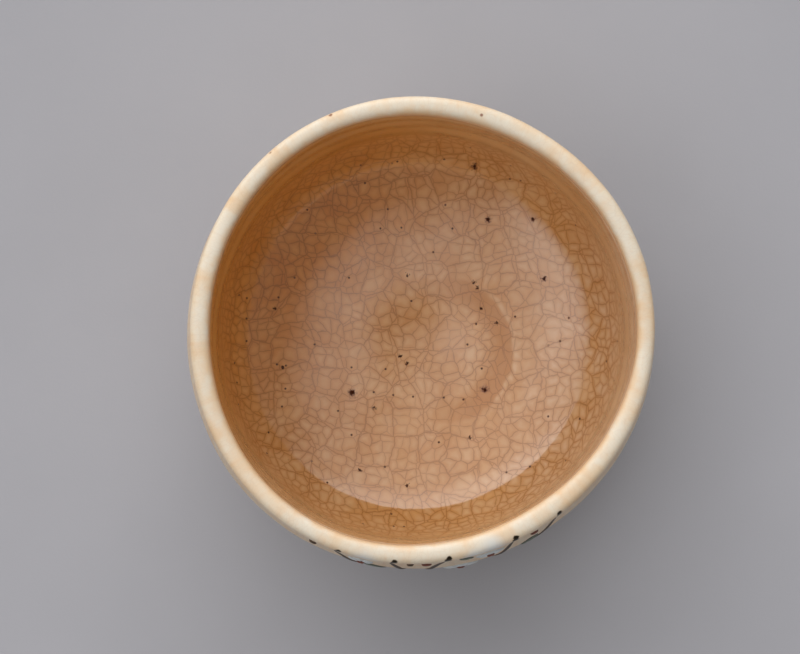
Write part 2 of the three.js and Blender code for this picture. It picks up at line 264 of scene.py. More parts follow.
# Roughness of each finish, or its patches with the least and the most, and what a blemish adds
TAN_ROUGHNESS = (6, 2.0, 0.3, 0.7, 0.06, 0.1)
CREAM_ROUGHNESS = (5, 2.0, 0.3, 0.7, 0.34, 0.44)
CLAY_ROUGHNESS = 0.75
SCORCH_ROUGHNESS = 0.15
IRON_ROUGHNESS = 0.55
SLIP_ROUGHNESS = 0.4
ENAMEL_ROUGHNESS = 0.45
LEAF_ROUGHNESS = 0.5
STREAK_ROUGHNESS = 0.1
PAPER_ROUGHNESS = 0.9
CLOUD_ROUGHNESS = 0.05

# Index of refraction of each finish
TAN_IOR = 1.7
CREAM_IOR = 1.42
CLAY_IOR = 1.45
PAINT_IOR = 1.5
PAPER_IOR = 1.3

# Stage
FLOOR_HALF = 3.0  # half a side of the paper, in metres
WINDOW_WAY = (-0.78, 0.63, 0.0)  # from the bowl towards the half of the dome that glows overhead
WINDOW_EDGE = (-0.17, 0.17)  # cosines from that way between which the dome starts to glow
WINDOW_FOOT = (0.5, 0.88)  # heights, as shares, between which that half grows dim towards the ground
WINDOW_DIM = (0.0, 0.16, 1.0, 0.66)  # from overhead to this far behind, it dims to this share
WINDOW_SHARE = 0.73  # its brightness, as a share of the glow behind the bowl
BACK_WAY = (-0.2, 0.85, 0.49)  # from the bowl towards the glow behind it
BACK_EDGE = (0.6, 0.97)  # cosines from that way between which it starts to glow
MOUTH_IN_IMAGE = (20.5, -2.3)  # pixels from the image's middle to the mouth's middle, right and up
IMAGE_WIDTH = 800
SENSOR_WIDTH = 36.0

# Fineness of the meshes
AROUND = 320
NUB_STEPS = 10
RECESS_STEPS = 8
SEAT_STEPS = 2
BARE_STEPS = 14
CORNER_STEPS = 6
FLANK_STEPS = 8
HIP_STEPS = 48
HIP_CROWDING = 1.5  # the hip's steps crowd towards the lower edge of the cream glaze
WALL_STEPS = 42
CREST_STEPS = 18
INNER_WALL_STEPS = 36
FLOOR_STEPS = 66
POOL_STEPS = 18
BED_STEPS = 12
BED_COARSENESS = 6  # steps of a glaze's face for each step of the clay under it
EDGE_STEPS = 60
LINE_STEPS = (("hip", 60), ("wall", 60), ("crest_out", 30))
STROKE_STEPS = 72
STROKE_SIDES = 14
PAD_RINGS = 14
PAD_BED_RINGS = 4
BLOSSOM_SIDES = 100
HEART_SIDES = 42
LEAF_SIDES = 96
BUD_SIDES = 40
SHARP_ANGLE = 45


def length(name, description, millimetres):
    """A length that a user may change."""
    return bpy.props.FloatProperty(
        name=name, description=description, default=millimetres * MM, min=0, unit="LENGTH", precision=5
    )


def colour(name, description, *rgb):
    """A colour that a user may change, in linear light."""
    return bpy.props.FloatVectorProperty(
        name=name, description=description, default=rgb, size=3, min=0, max=1, subtype="COLOR"
    )


def number(name, description, value):
    """A plain number that a user may change."""
    return bpy.props.FloatProperty(name=name, description=description, default=value)


class BowlSizes(bpy.types.PropertyGroup):
    """Sizes of the bowl, measured over its glaze."""

    height: length("Height", "Table to the mean crest of the lip", 80)
    mouth_radius: length("Mouth radius", "Outside of the lip", 57.3)
    lip_thickness: length("Lip thickness", "Through the lip", 4.7)
    lip_round: length("Lip round", "Height of the lip's rounded top", 2.6)
    belly_radius: length("Belly radius", "Widest ring of the outside", 60)
    belly_height: length("Belly height", "Table to the widest ring", 46)
    belly_wall: length("Belly wall", "Wall at the widest ring", 6.6)
    inner_widest: length("Inner widest", "Table to the widest ring of the inside", 50)
    floor_thickness: length("Floor thickness", "Foot's recess to the pool's rim", 7.4)
    pool_radius: length("Pool radius", "Shallow pool in the floor", 19.5)
    pool_depth: length("Pool depth", "Depth of the pool", 0.9)
    outer_glaze: length("Outer glaze", "Thickness of the cream glaze", 0.7)
    inner_glaze: length("Inner glaze", "Thickness of the tan glaze", 0.7)
    glaze_line: length("Glaze line", "Bare clay between the foot and the cream glaze", 9)
    glaze_roll: length("Glaze roll", "Width of the rounded lower edge of the cream glaze", 1.6)


class FootSizes(bpy.types.PropertyGroup):
    """Sizes of the foot."""

    height: length("Height", "Table to the body's underside", 6)
    radius: length("Radius", "Outside of the ring where it stands", 26)
    wall: length("Wall", "Width of the ring where it stands", 6)
    spread: length("Spread", "Widening on each side where the ring is luted on", 1.4)
    rounding: length("Rounding", "Rounding of the ring's lower edges", 0.9)
    nub_radius: length("Nub radius", "Low cone in the middle of the recess", 9)
    nub_drop: length("Nub drop", "Height of that cone", 1.6)


class PaintSizes(bpy.types.PropertyGroup):
    """Sizes of the painted marks."""

    seat: length("Seat", "How far a mark is sunk into the glaze", 0.06)
    stroke_width: length("Stroke width", "Widest part of a grass blade", 1.7)
    stroke_proud: length("Stroke height", "Height of a grass blade", 0.35)
    blossom_radius: length("Blossom radius", "Radius of a blossom", 4.1)
    blossom_proud: length("Blossom height", "Height of a blossom", 0.7)
    heart_radius: length("Heart radius", "Radius of a blossom's heart", 1.1)
    heart_proud: length("Heart height", "Height of a heart over its blossom", 0.5)
    leaf_length: length("Leaf length", "Length of a leaf", 9)
    leaf_width: length("Leaf width", "Width of a leaf", 3.4)
    leaf_proud: length("Leaf height", "Height of a leaf", 0.45)
    bud_radius: length("Bud radius", "Radius of a bud", 1.3)
    bud_proud: length("Bud height", "Height of a bud", 0.6)


class BowlColours(bpy.types.PropertyGroup):
    """Colours of the clay, the glazes and the painting."""

    clay: colour("Clay", "Bare fired clay", 0.42, 0.25, 0.14)
    clay_scorched: colour("Scorched clay", "Clay darkened by the kiln", 0.2, 0.11, 0.065)
    # ivory is also the painted highlight along the lip's crest
    ivory: colour("Ivory", "Cream glaze where it is thick", 0.83, 0.76, 0.64)
    cream: colour("Cream", "Cream glaze", 0.83, 0.68, 0.49)
    # peach is also the painted warm shade on the lip's inner slope
    peach: colour("Peach", "Blush of the cream glaze", 0.8, 0.54, 0.31)
    craze: colour("Craze", "Stained hair lines of the cream glaze", 0.36, 0.25, 0.17)
    tan: colour("Tan", "Tan glaze", 0.66, 0.365, 0.14)
    tan_deep: colour("Deep tan", "Tan glaze where it is thick", 0.53, 0.24, 0.062)
    tan_pale: colour("Pale tan", "Tan glaze inside a crackle cell", 0.69, 0.425, 0.21)
    tan_wall: colour("Wall tan", "Tan glaze where it thins on the wall", 0.82, 0.57, 0.3)
    tan_lip: colour("Lip tan", "Tan glaze where it meets the cream", 0.77, 0.56, 0.35)
    crackle: colour("Crackle", "Stained crackle lines of the tan glaze", 0.26, 0.095, 0.022)
    speck: colour("Speck", "Iron speck", 0.07, 0.02, 0.008)
    halo: colour("Halo", "Rust round an iron speck", 0.2, 0.045, 0.012)
    iron: colour("Iron", "Iron-brown brush stroke", 0.04, 0.03, 0.016)
    iron_thin: colour("Thin iron", "Edge of a brush stroke", 0.12, 0.062, 0.03)
    slip: colour("Slip", "Bluish-white slip", 0.72, 0.77, 0.79)
    slip_shade: colour("Slip shade", "Slip in its folds", 0.55, 0.56, 0.54)
    leaf: colour("Leaf", "Grey-green enamel", 0.15, 0.18, 0.12)
    leaf_vein: colour("Leaf vein", "Vein of a leaf", 0.055, 0.065, 0.045)
    bud: colour("Bud", "Red-brown enamel", 0.26, 0.062, 0.026)
    bud_dark: colour("Dark bud", "Red-brown enamel where it is thick", 0.11, 0.026, 0.013)


class StageSettings(bpy.types.PropertyGroup):
    """The floor, the lights and the camera."""

    paper: colour("Paper", "Grey paper floor", 0.42, 0.415, 0.443)
    sky: colour("Sky", "Colour of the dome", 1, 1, 1)
    level: number("Light level", "Strength of the dome where it is brightest", 2.53)
    fill: number("Fill", "Share of that level which comes from every side", 0.11)
    tilt: bpy.props.FloatProperty(
        name="Tilt",
        description="Camera's lean from straight down",
        default=math.radians(2),
        subtype="ANGLE",
    )
    distance: length("Distance", "Camera to the mouth of the bowl", 600)
    lens: number("Lens", "Focal length in millimetres on a 36 mm sensor", 110.4)


def settings(context):
    """The scene's groups of settings."""
    scene = context.scene
    return scene.bowl_sizes, scene.bowl_foot, scene.bowl_paint, scene.bowl_colours


class Term:
    """A socket of a finish. Python's operators on it add Math nodes."""

    def __init__(self, finish, socket):
        self.finish = finish
        self.socket = socket

    def math(self, operation, *values):
        sockets = dict(enumerate(values))
        return self.finish.node("ShaderNodeMath", {"operation": operation}, sockets)

    def __add__(self, other):
        return self.math("ADD", self, other)

    def __radd__(self, other):
        return self.math("ADD", other, self)

    def __sub__(self, other):
        return self.math("SUBTRACT", self, other)

    def __rsub__(self, other):
        return self.math("SUBTRACT", other, self)

    def __mul__(self, other):
        return self.math("MULTIPLY", self, other)

    def __rmul__(self, other):
        return self.math("MULTIPLY", other, self)

    def most(self, other):
        return self.math("MAXIMUM", self, other)

    def least(self, other):
        return self.math("MINIMUM", self, other)


class Finish:
    """The nodes of a material or a world, and short ways to add to them."""

    def __init__(self, owner):
        self.owner = owner
        owner.use_nodes = True
        self.tree = owner.node_tree
        self.tree.nodes.clear()

    def node(self, kind, options, sockets, output=0):
        """A node of a kind: its options are set first, then its sockets are set or linked."""
        node = self.tree.nodes.new(kind)
        for key, value in options.items():
            setattr(node, key, value)
        for key, value in sockets.items():
            if isinstance(value, Term):
                self.tree.links.new(value.socket, node.inputs[key])
            else:
                node.inputs[key].default_value = value
        return Term(self, node.outputs[output])

    def place(self):
        """Position on the bowl, in millimetres."""
        at = self.node("ShaderNodeTexCoord", {}, {}, "Object")
        return self.vector("SCALE", at, Scale=1 / MM)

    def attribute(self, name, output="Fac"):
        """What the mesh holds at each of its points."""
        return self.node("ShaderNodeAttribute", {"attribute_name": name}, {}, output)

    def vector(self, operation, *values, output=0, **named):
        """Vector maths on places and ways."""
        sockets = {**dict(enumerate(values)), **named}
        return self.node("ShaderNodeVectorMath", {"operation": operation}, sockets, output)

    def mix(self, factor, first, second, blend="MIX"):
        """Blend of two colours."""
        sockets = {0: factor, 6: opaque(first), 7: opaque(second)}
        return self.node("ShaderNodeMix", {"data_type": "RGBA", "blend_type": blend}, sockets, 2)

    def layered(self, base, *layers):
        """A colour under layers: each has a mask, its cover where the mask is full, and its colour."""
        for mask, cover, over in layers:
            base = self.mix(mask * cover, base, over)
        return base

    def mottle(self, at, span, detail=2.0, output="Fac"):
        """Soft noise whose patches are about a span wide."""
        sockets = {"Vector": at, "Scale": 1 / span, "Detail": detail}
        return self.node("ShaderNodeTexNoise", {}, sockets, output)

    def patches(self, at, span, detail, low, high, start=0.0, end=1.0):
        """Patches about a span wide, from start to end while the noise goes from low to high."""
        return self.ramp(self.mottle(at, span, detail), low, high, start, end)

    def shaken(self, place, at, span, detail, reach):
        """A place moved by the noise at another, by half of a reach to each side at most."""
        shake = self.vector("SUBTRACT", self.mottle(at, span, detail, "Color"), (0.5, 0.5, 0.5))
        return self.vector("MULTIPLY_ADD", shake, reach, place)

    def ramp(self, value, low, high, start=0.0, end=1.0):
        """Smooth step from start to end while the value goes from low to high."""
        sockets = {"Value": value, "From Min": low, "From Max": high, "To Min": start, "To Max": end}
        return self.node("ShaderNodeMapRange", {"interpolation_type": "SMOOTHSTEP"}, sockets)

    def fall(self, value, low, high):
        """Mask that is full below low and gone above high."""
        return self.ramp(value, low, high, 1.0, 0.0)

    def band(self, value, low, rise, fall, high):
        """Mask that grows from low to rise and goes again from fall to high."""
        return self.ramp(value, low, rise) * self.fall(value, fall, high)

    def cells(self, at, span, feature, output, disorder=1.0):
        """Voronoi cells of about a span, from a square grid to wholly scattered."""
        options = {"voronoi_dimensions": "2D", "feature": feature}
        sockets = {"Vector": at, "Scale": 1 / span, "Randomness": disorder}
        return self.node("ShaderNodeTexVoronoi", options, sockets, output)

    def grain(self, at, span, detail, depth, share=1.0):
        """Normal of a fine relief of a span and a depth in millimetres, of which a share shows."""
        height = self.mottle(at, span, detail) * share
        return self.node("ShaderNodeBump", {}, {"Height": height, "Distance": depth * MM, "Strength": 1.0})

    def surface(self, base, roughness, normal, ior, metallic=0.0):
        """The finished material."""
        sockets = {
            "Base Color": base,
            "Roughness": roughness,
            "Metallic": metallic,
            "Normal": normal,
            "IOR": ior,
        }
        shader = self.node("ShaderNodeBsdfPrincipled", {}, sockets)
        self.tree.nodes.new("ShaderNodeOutputMaterial")
        return self.end("Material Output", shader)

    def end(self, name, shader):
        """Links the last shader to the output and gives the finished owner."""
        self.tree.links.new(shader.socket, self.tree.nodes[name].inputs["Surface"])
        return self.owner


def opaque(value):
    """A colour as a socket takes it."""
    return value if isinstance(value, Term) else (*value, 1.0)


def crackle(finish, at, cell, hair):
    """Masks of crackle lines in two generations and of the stain beside them, and a tone for each cell."""
    bent = at
    for span, detail, reach in (CRACK_SWAY, CRACK_SHAKE):
        bent = finish.shaken(bent, at, cell * span, detail, (cell * reach, cell * reach, 0.0))
    wide = cell * FIRST_CRACKS
    first = finish.cells(bent, wide, "DISTANCE_TO_EDGE", "Distance", CRACK_DISORDER) * wide
    plot = finish.cells(bent, wide, "F1", "Color", CRACK_DISORDER)
    own = finish.vector("MULTIPLY_ADD", plot, (PLOT_JUMP, PLOT_JUMP, 0.0), bent)
    second = finish.cells(own, cell, "DISTANCE_TO_EDGE", "Distance", CRACK_DISORDER) * cell
    tone = finish.cells(own, cell, "F1", "Color", CRACK_DISORDER)
    strength = finish.ramp(finish.mottle(at, cell * CRACK_STRETCH), *CRACK_STRENGTH)

    def beside(reach):
        return finish.fall(first, 0.0, reach).most(finish.fall(second, 0.0, reach) * strength)

    return beside(hair), beside(cell * CRACK_STAIN), tone


def spots(finish, place, marks, spread):
    """Mask of round marks, each a place and a radius in millimetres, that end at a spread of radii."""
    mask = 0.0
    for *middle, radius in marks:
        away = finish.vector("DISTANCE", place, tuple(middle), output=1)
        mask = finish.fall(away, radius * SPOT_CORE, radius * spread).most(mask)
    return mask


def pins(finish, at):
    """Mask of fine pins of iron, in some of the cells of a scatter."""
    away = finish.cells(at, PIN_SPAN, "F1", "Distance")
    tone = finish.cells(at, PIN_SPAN, "F1", "Color")
    chance = finish.node("ShaderNodeSeparateColor", {}, {0: tone}, 1)
    return finish.fall(away, *PIN_SIZE) * finish.ramp(chance, *PIN_CHANCE)


def ears():
    """The dabs that end the blades: azimuths, shares of the coated wall and radii."""
    return [
        (tip + turn, share * part, radius)
        for _, _, (tip, share) in GRASS
        for part, turn, radius in EAR_DABS
    ]


def on_coat(wall, marks):
    """Places in space and radii, in millimetres, of flat marks on the coat."""
    flat = np.array([wall.unrolled(mark[:2]) for mark in marks])
    places = wall.raised(flat, np.zeros(len(marks))) / MM
    return [(*place, mark[2]) for place, mark in zip(places.tolist(), marks)]


def tan_glaze(colours):
    """Glossy tan crackle glaze with iron specks."""
    finish = Finish(bpy.data.materials.new("tan_crackle_glaze"))
    at = finish.attribute("spread", "Vector")
    place = finish.place()
    seam = finish.attribute("seam")
    lines, stain, tone = crackle(finish, at, *TAN_CRACKLE)
    cracked = finish.ramp(seam, *TAN_CRACKED)
    wall = finish.fall(seam, *TAN_WALL)
    light = finish.ramp(finish.node("ShaderNodeSeparateColor", {}, {0: tone}), 0.0, 1.0, *CELL_LIGHT)
    span, reach = POOL_WAVER
    from_pool = finish.vector("DISTANCE", at, (*POOL_OFFSET, 0.0), output=1)
    from_pool = from_pool + finish.mottle(place, span) * reach
    east = finish.node("ShaderNodeSeparateXYZ", {}, {0: at})
    swept = finish.vector("MULTIPLY", place, STREAK_SCALE)
    base = finish.layered(
        colours.tan,
        (finish.patches(place, *TAN_PATCH), 0.55, colours.tan_deep),
        (light * cracked, 1.0, colours.tan_pale),
        (finish.patches(place, *TAN_CLOUD) * cracked, 0.3, colours.tan_lip),
        (wall, 0.95, colours.tan_wall),
        (finish.fall(seam, *TAN_LIP), 0.75, colours.tan_lip),
        # painted shade on the pool's bank and a painted glint along its brim, both on one side
        (finish.band(from_pool, *POOL_BANK_SHADE) * finish.ramp(east, *BANK_SHADE_EAST), 0.8, colours.tan_deep),
        (finish.band(from_pool, *POOL_BRIM_GLINT) * finish.ramp(east, *BRIM_GLINT_EAST), 0.5, colours.tan_lip),
        (finish.patches(swept, *TAN_STREAK) * wall, 0.25, colours.tan_deep),
    )
    # painted shade on one side of the lining and painted light on the other
    for towards, edge, tint in PAINTED_SHADE_AND_LIGHT_TINTS:
        share = finish.ramp(finish.vector("DOT_PRODUCT", place, towards, output=1), *edge)
        base = finish.mix(share, base, tint, "MULTIPLY")
    flat = finish.vector("MULTIPLY", finish.shaken(place, place, *SPECK_RAGGED), (1.0, 1.0, 0.0))
    iron = spots(finish, flat, RUST_SPECKS + IRON_SPECKS, SPECK_SPREAD)
    iron = iron.most(pins(finish, at) * PIN_COVER)
    base = finish.layered(
        base,
        (stain * cracked, 0.6, colours.tan_deep),
        (lines * cracked, 0.55, colours.crackle),
        (spots(finish, flat, RUST_SPECKS, RUST_SPREAD), 0.7, colours.halo),
        ((iron * SPECK_COVER).least(1.0), 1.0, colours.speck),
        (finish.fall(seam, *TAN_EDGE), 1.0, colours.peach),
    )
    roughness = finish.patches(place, *TAN_ROUGHNESS) + iron * SPECK_DULLNESS
    normal = finish.grain(place, *TAN_GRAIN, finish.ramp(seam, *TAN_RIPPLED))
    return finish.surface(base, roughness, normal, TAN_IOR, iron)


def cream_glaze(colours, wall):
    """Satin cream glaze: ivory along the lip's crest, partly a painted highlight, peach where it thins
    below and on the lip's inner slope, partly painted shade, and faintly crazed.
    """
    finish = Finish(bpy.data.materials.new("cream_craze_glaze"))
    at = finish.attribute("spread", "Vector")
    place = finish.place()
    seam = finish.attribute("seam")
    lines, stain, _ = crackle(finish, at, *CREAM_CRACKLE)
    crazed = finish.ramp(seam, *CREAM_CRAZED)
    blush = finish.patches(place, *CREAM_BLUSH)
    round_lip = finish.vector("SCALE", finish.vector("NORMALIZE", at), Scale=RUN_RADIUS)
    runs = finish.patches(round_lip, *CREAM_RUN)
    span, detail, reach = CREST_WAVER
    ridge = seam + finish.mottle(place, span, detail) * reach
    brushed = finish.shaken(place, place, *BRUSH_RAGGED)
    washes = spots(finish, brushed, on_coat(wall, SLIP_WASHES), WASH_SPREAD)
    dabs = spots(finish, brushed, on_coat(wall, ears()), DAB_SPREAD)
    base = finish.layered(
        colours.cream,
        (blush * 0.55 + runs * 0.4, 1.0, colours.peach),
        # ivory crest band: thick glaze and a painted highlight
        (finish.band(ridge, *CREAM_CREST_HIGHLIGHT) * (0.75 - blush * 0.55), 1.0, colours.ivory),
        (finish.patches(place, *CREAM_DUST), 0.2, colours.peach),
        (stain * crazed, 0.12, colours.peach),
        (lines * crazed, 0.3, colours.craze),
        # peach band at the seam: thin glaze and the painted shade of the lip's inner slope
        (finish.fall(ridge, *CREAM_THIN_SHADE), 0.85, colours.peach),
        (spots(finish, place, LIP_SPECKS, LIP_SPECK_SPREAD), 0.8, colours.halo),
        (washes, 0.7, colours.slip),
        (dabs, 1.0, colours.iron_thin),
        (finish.ramp(dabs, *DAB_MIDDLE), 1.0, colours.iron),
    )
    roughness = finish.patches(place, *CREAM_ROUGHNESS)
    return finish.surface(base, roughness, finish.grain(place, *CREAM_GRAIN), CREAM_IOR, dabs)


def bare_clay(colours):
    """Matt fired clay with grog and kiln scorch."""
    finish = Finish(bpy.data.materials.new("bare_fired_clay"))
    place = finish.place()
    scorch = finish.patches(place, *CLAY_SCORCH)
    base = finish.layered(
        colours.clay,
        (scorch, 0.6, colours.clay_scorched),
        (finish.patches(place, *CLAY_GROG), 0.4, colours.ivory),
    )
    roughness = CLAY_ROUGHNESS + scorch * SCORCH_ROUGHNESS
    return finish.surface(base, roughness, finish.grain(place, *CLAY_GRAIN), CLAY_IOR)


def painted(name, thick, thin, roughness):
    """Brushed or raised colour: thick in the middle of a mark, thin at its edge."""
    finish = Finish(bpy.data.materials.new(name))
    place = finish.place()
    streak = finish.patches(place, *PAINT_STREAK)
    edge = finish.fall(finish.attribute("edge"), *PAINT_EDGE)
    base = finish.layered(
        thick,
        (edge * (0.55 + streak * 0.45), 1.0, thin),
        (streak, 0.18, thin),
    )
    roughness = roughness + streak * STREAK_ROUGHNESS
    return finish.surface(base, roughness, finish.grain(place, *PAINT_GRAIN), PAINT_IOR)


def paper(stage):
    """Grey paper with a faint fibre."""
    finish = Finish(bpy.data.materials.new("grey_paper"))
    place = finish.place()
    cloud = finish.mottle(place, *PAPER_CLOUD)
    dim = tuple(PAPER_DIM * c for c in stage.paper)
    base = finish.mix(finish.ramp(cloud, *PAPER_CLOUD_EDGE), stage.paper, dim)
    roughness = PAPER_ROUGHNESS + cloud * CLOUD_ROUGHNESS
    return finish.surface(base, roughness, finish.grain(place, *PAPER_GRAIN), PAPER_IOR)


def hand(azimuth, waves):
    """Sum of the waves at each azimuth, in metres."""
    return MM * sum(swell * np.cos(n * (azimuth - math.radians(crest))) for n, swell, crest in waves)


def waver(angle, waves):
    """Factor for each angle round a mark by which its edge wavers."""
    return sum((swell * np.cos(n * angle + phase) for n, swell, phase in waves), 1)


def way(degrees):
    """Unit vector of a heading in the profile's plane."""
    angle = np.radians(degrees)
    return np.stack([np.cos(angle), np.sin(angle)], axis=-1)


def point_at(radius, height, azimuth):
    """A profile point at each azimuth."""
    return np.stack([radius + 0 * azimuth, height + 0 * azimuth], axis=-1)


def bend(start, end, leave, arrive, fullness):
    """Control points of a curve that leaves and arrives along two headings."""
    reach = fullness * np.linalg.norm(end - start, axis=-1, keepdims=True)
    return np.stack([start, start + reach * way(leave), end - reach * way(arrive), end], axis=-2)


def along(curve, shares):
    """Points of a curve, one row for each azimuth, and the way out of the clay at each."""
    t = np.broadcast_to(shares, (len(curve), np.shape(shares)[-1]))[..., None]
    a, b, c, d = (curve[:, None, i] for i in range(4))
    u = 1 - t
    point = u**3 * a + 3 * u * u * t * b + 3 * u * t * t * c + t**3 * d
    run = u * u * (b - a) + 2 * u * t * (c - b) + t * t * (d - c)
    run = run / np.linalg.norm(run, axis=-1, keepdims=True)
    return point, np.stack([run[..., 1], -run[..., 0]], axis=-1)


def chain(*runs):
    """Runs end to end, without the repeats where they meet."""
    points = [run[0] if i == 0 else run[0][:, 1:] for i, run in enumerate(runs)]
    outs = [run[1] if i == 0 else run[1][:, 1:] for i, run in enumerate(runs)]
    return np.concatenate(points, axis=1), np.concatenate(outs, axis=1)


def steps(count, start=0.0, end=1.0):
    """Evenly spaced shares, from start to end."""
    return np.linspace(start, end, count + 1)


def clay_curves(bowl, foot, azimuth):
    """The clay's surface at each azimuth, from the foot's seat over the lip to the middle of the floor.

    Each name stands for the control points of one curve in the profile's plane.
    """
    lobe = hand(azimuth, MOUTH_LOBES)
    belly_lobe = BELLY_SHARE * lobe + hand(azimuth, BELLY_LOBES)
    shoulder = bowl.height + hand(azimuth, LIP_RISES) - bowl.lip_round
    crest = shoulder + bowl.lip_round - bowl.outer_glaze
    thickness = bowl.lip_thickness + hand(azimuth, LIP_PINCHES)
    lip_outside = bowl.mouth_radius + lobe - bowl.outer_glaze
    lip_inside = bowl.mouth_radius + lobe - thickness + bowl.outer_glaze
    belly_outside = bowl.belly_radius + belly_lobe - bowl.outer_glaze
    belly_inside = bowl.belly_radius + belly_lobe - bowl.belly_wall + bowl.inner_glaze
    pool_rim = foot.height + bowl.floor_thickness - bowl.inner_glaze
    lean = np.degrees(np.arctan2(belly_outside - lip_outside, shoulder - bowl.belly_height))
    lip_heading = UP + LIP_LEAN * lean
    _, seat = ring_seats(foot, azimuth)
    belly = point_at(belly_outside, bowl.belly_height, azimuth)
    outside = point_at(lip_outside, shoulder, azimuth)
    top = point_at((lip_outside + lip_inside) / 2, crest, azimuth)
    inside = point_at(lip_inside, shoulder, azimuth)
    widest = point_at(belly_inside, bowl.inner_widest, azimuth)
    rim = point_at(bowl.pool_radius, pool_rim, azimuth)
    middle = point_at(0, pool_rim - bowl.pool_depth, azimuth)
    return {
        "hip": bend(seat, belly, HIP_HEADING, UP, HIP_FULLNESS),
        "wall": bend(belly, outside, UP, lip_heading, WALL_FULLNESS),
        "crest_out": bend(outside, top, lip_heading, INWARD, CREST_FULLNESS),
        "crest_in": bend(top, inside, INWARD, DOWN, CREST_FULLNESS),
        "inner_wall": bend(inside, widest, DOWN, DOWN, WALL_FULLNESS),
        "floor": bend(widest, rim, DOWN, INWARD, FLOOR_FULLNESS),
        "pool": bend(rim, middle, INWARD, INWARD, POOL_FULLNESS),
    }


def lengths(points):
    """Distance run along each row of points."""
    gaps = np.linalg.norm(np.diff(points, axis=1), axis=-1)
    return np.concatenate([np.zeros((len(points), 1)), np.cumsum(gaps, axis=1)], axis=1)


def glaze_edge(bowl, azimuth, hip):
    """Share of the hip's curve at which the cream glaze starts, for each azimuth."""
    shares = steps(EDGE_STEPS)
    runs = lengths(along(hip, shares)[0])
    starts = bowl.glaze_line + hand(azimuth, GLAZE_RUNS)
    return np.array([np.interp(start, run, shares) for start, run in zip(starts, runs)])


def turned(flat, azimuth):
    """Profile points or ways turned to their azimuths."""
    c, s = np.cos(azimuth)[:, None], np.sin(azimuth)[:, None]
    return np.stack([flat[..., 0] * c, flat[..., 0] * s, flat[..., 1]], axis=-1)


def dents(points):
    """Depth of the hand's dents at points of the clay."""
    flat = points.reshape(-1, 3) / MM
    depths = [sum(depth * noise.noise(Vector(p) / span) for span, depth in LUMPS) for p in flat]
    return MM * np.array(depths).reshape(points.shape[:-1])


def raised(run, azimuth, thickness):
    """A run of the clay raised by a thickness, with the hand's dents."""
    point, out = run
    base = turned(point, azimuth)
    lift = thickness + dents(base)
    return base + turned(out, azimuth) * lift[..., None]


def drifted(points):
    """The lining's points moved with the pool, which lies off the middle."""
    reach = POOL_DRIFT_REACH * MM
    radius = np.linalg.norm(points[..., :2], axis=-1)
    pull = np.clip(1 - radius / reach, 0, 1) ** 2 * (1 + 2 * np.clip(radius / reach, 0, 1))
    points[..., 0] += pull * POOL_OFFSET[0] * MM
    points[..., 1] += pull * POOL_OFFSET[1] * MM
    return points


def skin(name, rails, loops, **attributes):
    """A closed mesh over rails round an axis: each rail is a loop, or runs between two shared poles."""
    count, run = rails.shape[:2]
    if loops:
        points = rails.reshape(-1, 3)
        index = np.arange(count * run).reshape(count, run)
        index = np.concatenate([index, index[:, :1]], axis=1)
    else:
        inner = rails[:, 1:-1].reshape(-1, 3)
        points = np.concatenate([rails[:1, 0], inner, rails[:1, -1]])
        index = np.arange(count * (run - 2)).reshape(count, run - 2) + 1
        ends = np.zeros((count, 1), int)
        index = np.concatenate([ends, index, ends + len(points) - 1], axis=1)
    after = np.roll(index, -1, axis=0)
    quads = np.stack([index[:, :-1], after[:, :-1], after[:, 1:], index[:, 1:]], axis=-1)
    faces = [list(dict.fromkeys(quad)) for quad in quads.reshape(-1, 4).tolist()]
    mesh = bpy.data.meshes.new(name)
    mesh.from_pydata(points.tolist(), [], faces)
    for key, values in attributes.items():
        store(mesh, key, values, loops)
    mesh.shade_smooth()
    mesh.set_sharp_from_angle(angle=math.radians(SHARP_ANGLE))
    piece = bpy.data.objects.new(name, mesh)
    bpy.context.scene.collection.objects.link(piece)
    return piece


def store(mesh, key, values, loops):
    """Keeps a number or a vector for each point of a skin's mesh."""
    wide = values.ndim == 3
    flat = values if loops else values[:, 1:-1]
    flat = flat.reshape(-1, 3) if wide else flat.reshape(-1)
    if not loops:
        flat = np.concatenate([values[:1, 0], flat, values[:1, -1]])
    kind, field = ("FLOAT_VECTOR", "vector") if wide else ("FLOAT", "value")
    mesh.attributes.new(key, kind, "POINT").data.foreach_set(field, flat.astype(np.float32).ravel())


def dress(piece, material, slot, *nodes):
    """Finishes a piece, which stands for its CAD nodes and stays on the body."""
    piece.data.materials.append(material)
    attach(piece, BODY)
    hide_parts(*nodes)


def spread_from(points, start, azimuth):
    """Flat place of each point in millimetres: laid out from the first one like a map round a pole."""
    reach = (start + lengths(points)) / MM
    flat = [reach * np.cos(azimuth)[:, None], reach * np.sin(azimuth)[:, None], 0 * reach]
    return np.stack(flat, axis=-1)


def round_bowl():
    """Azimuths of the rails round the bowl."""
    return np.linspace(0, 2 * math.pi, AROUND, endpoint=False)


def ring_seats(foot, azimuth):
    """Inner and outer edge of the seat where the foot ring is luted on."""
    inner = point_at(foot.radius - foot.wall - foot.spread, foot.height, azimuth)
    return inner, point_at(foot.radius + foot.spread, foot.height, azimuth)


def coat_runs(curves, coarseness=1):
    """The wall and the two sides of the lip, in finer or coarser steps."""
    return (
        along(curves["wall"], steps(WALL_STEPS // coarseness)),
        along(curves["crest_out"], steps(CREST_STEPS // coarseness)),
        along(curves["crest_in"], steps(CREST_STEPS // coarseness)),
    )


def lining_runs(curves, coarseness=1):
    """The inside from the lip's seam to the middle of the floor, in finer or coarser steps."""
    return (
        along(curves["inner_wall"], steps(INNER_WALL_STEPS // coarseness)),
        along(curves["floor"], steps(FLOOR_STEPS // coarseness)),
        along(curves["pool"], steps(POOL_STEPS // coarseness)),
    )


